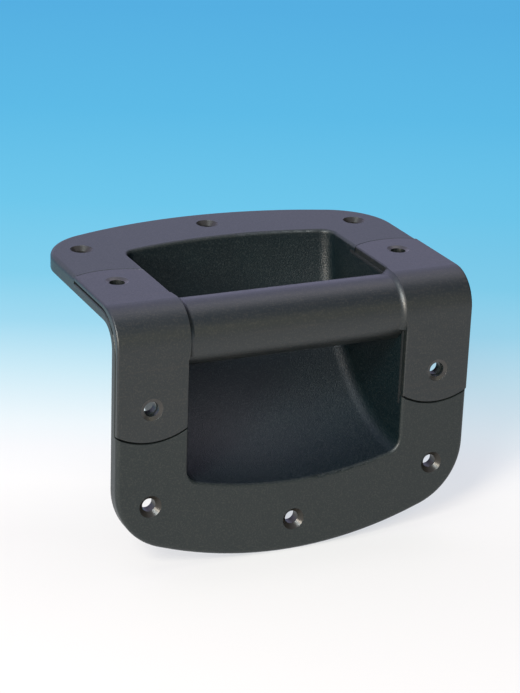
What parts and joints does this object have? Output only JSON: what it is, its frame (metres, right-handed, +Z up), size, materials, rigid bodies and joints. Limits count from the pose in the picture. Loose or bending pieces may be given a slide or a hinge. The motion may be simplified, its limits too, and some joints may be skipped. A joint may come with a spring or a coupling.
{
  "type": "bar handle",
  "caption": "Recessed bar handle for the top front corner of a cabinet: a flanged dish with a round cup let into the corner, a thick bar across it and straps over the edge, screwed down.",
  "frame": {"origin": "the cabinet's own top front edge, where the planes under the two flanges meet, in the middle of the handle", "axes": "+X along the cabinet's edge, +Y back over the cabinet's top, +Z up; the front flange faces -Y"},
  "size_m": [0.197, 0.141, 0.141],
  "materials": {
    "dish_plastic": "moulded, smooth satin on the flanges and fine spark-eroded grain in the cup",
    "handle_plastic": "moulded, smooth satin"
  },
  "bodies": {
    "root": {"dish": "dish_plastic", "bar_handle": "handle_plastic"}
  },
  "joints": []
}
